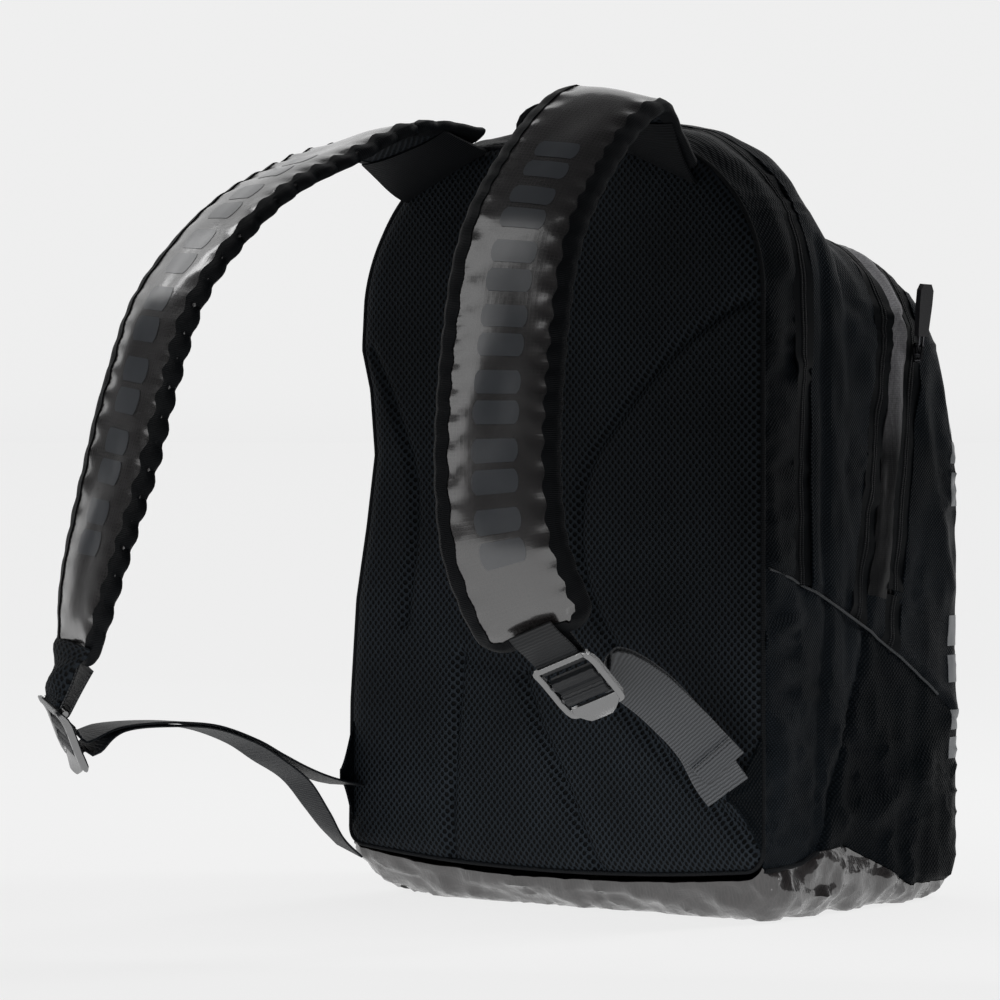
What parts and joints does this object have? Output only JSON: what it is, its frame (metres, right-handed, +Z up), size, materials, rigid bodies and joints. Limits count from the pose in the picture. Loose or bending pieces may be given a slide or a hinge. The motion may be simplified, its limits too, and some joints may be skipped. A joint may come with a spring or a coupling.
{
  "type": "racket backpack",
  "caption": "Tall rounded backpack with a mesh back panel, three arched zip compartments, padded shoulder straps with webbing adjusters and a glossy wrapped base.",
  "frame": {"origin": "on the ground at the middle of the flat base, on the bag's centre plane", "axes": "+Z up, +Y from the wearer's back to the front of the bag, +X to the right when looking at the back panel"},
  "size_m": [0.3687, 0.5311, 0.5243],
  "materials": {
    "mesh": "black knitted spacer mesh, matt",
    "foam": "closed-cell foam",
    "sheet": "stiff plastic sheet",
    "piping": "black woven piping",
    "fabric": "black fine woven polyester",
    "weave": "black heavier basket weave",
    "tarpaulin": "glossy coated tarpaulin with a ripstop grid",
    "zip_tape": "black zip tape",
    "zip_coil": "black nylon coil",
    "metal": "black plated metal, glossy",
    "grip": "moulded soft grip",
    "buckle": "black moulded plastic, glossy",
    "webbing": "black ribbed webbing",
    "lining": "dark grey lining"
  },
  "bodies": {
    "bag": {"back_panel_mesh": "mesh", "back_panel_foam": "foam", "frame_sheet": "sheet", "back_panel_piping": "piping", "rear_gusset": "fabric", "main_zip_tape_rear": "zip_tape", "main_zip_coil_rear": "zip_coil", "lower_side_left": "weave", "lower_side_right": "weave", "lower_front_panel": "weave", "base_panel": "tarpaulin", "base_board": "sheet", "base_piping": "piping", "fold_gusset_lower": "weave", "left_load_webbing": "webbing", "right_load_webbing": "webbing", "left_webbing_tail": "webbing", "right_webbing_tail": "webbing", "corner_wings": "weave"},
    "front_half": {"main_zip_coil_front": "zip_coil", "main_zip_tape_front": "zip_tape", "mid_gusset": "fabric", "step_gusset": "fabric", "mid_zip_tapes": "zip_tape", "mid_zip_coil": "zip_coil", "front_gusset": "fabric", "front_zip_tape_rear": "zip_tape", "front_zip_coil_rear": "zip_coil", "main_divider": "lining", "front_divider": "lining", "front_pocket_floor": "lining", "fold_gusset_upper": "fabric"},
    "flap": {"front_zip_coil_front": "zip_coil", "front_zip_tape_front": "zip_tape", "front_flap": "fabric"},
    "main_left_slider": {"main_left_slider": "metal"},
    "main_left_pull": {"main_left_pull": "grip"},
    "main_right_slider": {"main_right_slider": "metal"},
    "main_right_pull": {"main_right_pull": "grip"},
    "mid_slider": {"mid_slider": "metal"},
    "mid_pull": {"mid_pull": "grip"},
    "front_slider": {"front_slider": "metal"},
    "front_pull": {"front_pull_loop": "metal", "front_pull_grip": "grip"},
    "left_strap": {"left_strap_foam": "foam", "left_strap_cover": "tarpaulin", "left_strap_lining": "mesh", "left_strap_binding": "piping", "left_strap_tab": "webbing"},
    "right_strap": {"right_strap_foam": "foam", "right_strap_cover": "tarpaulin", "right_strap_lining": "mesh", "right_strap_binding": "piping", "right_strap_tab": "webbing"},
    "left_lock": {"left_ladder_lock": "buckle", "left_webbing_wrap": "webbing"},
    "right_lock": {"right_ladder_lock": "buckle", "right_webbing_wrap": "webbing"},
    "haul_loop": {"haul_handle": "webbing"}
  },
  "joints": [
    {"name": "main_open", "type": "hinge", "parent": "bag", "child": "front_half", "pos_m": [0, -0.066, 0.20995], "axis": [-1, 0, 0], "range_deg": [0, 14], "deforming": ["fold_gusset_lower"]},
    {"name": "flap_open", "type": "hinge", "parent": "front_half", "child": "flap", "pos_m": [0, 0.04073, 0.20599], "axis": [-1, 0, 0], "range_deg": [0, 18], "deforming": ["fold_gusset_upper"]},
    {"name": "main_left_slider_run", "type": "slide", "parent": "bag", "child": "main_left_slider", "axis": [-1, 0, 0], "range_m": [0, 0.045]},
    {"name": "main_left_pull_flip", "type": "hinge", "parent": "main_left_slider", "child": "main_left_pull", "pos_m": [-0.0112, -0.066, 0.4987], "axis": [0, 1, 0], "range_deg": [0, 90]},
    {"name": "main_right_slider_run", "type": "slide", "parent": "bag", "child": "main_right_slider", "axis": [1, 0, 0], "range_m": [0, 0.045]},
    {"name": "main_right_pull_flip", "type": "hinge", "parent": "main_right_slider", "child": "main_right_pull", "pos_m": [0.0112, -0.066, 0.4987], "axis": [0, -1, 0], "range_deg": [0, 90]},
    {"name": "mid_slider_run", "type": "slide", "parent": "front_half", "child": "mid_slider", "axis": [-1, 0, 0], "range_m": [-0.09, 0.04]},
    {"name": "mid_pull_flip", "type": "hinge", "parent": "mid_slider", "child": "mid_pull", "pos_m": [-0.0302, 0.04291, 0.44333], "axis": [0, 0.9851, -0.1719], "range_deg": [0, 150]},
    {"name": "front_slider_run", "type": "slide", "parent": "front_half", "child": "front_slider", "axis": [0, -0.1426, -0.9898], "range_m": [0, 0.12]},
    {"name": "front_pull_flip", "type": "hinge", "parent": "front_slider", "child": "front_pull", "pos_m": [0.1687, 0.06267, 0.3572], "axis": [0, 0.9898, -0.1426], "range_deg": [0, 165]},
    {"name": "left_strap_swing", "type": "hinge", "parent": "bag", "child": "left_strap", "pos_m": [-0.086, -0.119, 0.484], "axis": [1, 0, 0], "range_deg": [-20, 30], "deforming": ["left_load_webbing", "left_webbing_tail"]},
    {"name": "right_strap_swing", "type": "hinge", "parent": "bag", "child": "right_strap", "pos_m": [0.086, -0.119, 0.484], "axis": [1, 0, 0], "range_deg": [-25, 15], "deforming": ["right_load_webbing", "right_webbing_tail"]},
    {"name": "left_lock_tilt", "type": "hinge", "parent": "left_strap", "child": "left_lock", "pos_m": [-0.17586, -0.37975, 0.13509], "axis": [0.8561, -0.4599, -0.236], "range_deg": [-15, 15]},
    {"name": "right_lock_tilt", "type": "hinge", "parent": "right_strap", "child": "right_lock", "pos_m": [0.13522, -0.27583, 0.16683], "axis": [0.9166, 0.1587, 0.367], "range_deg": [-15, 15]},
    {"name": "haul_loop_lean", "type": "hinge", "parent": "bag", "child": "haul_loop", "pos_m": [0, -0.092, 0.497], "axis": [1, 0, 0], "range_deg": [-20, 20]}
  ]
}
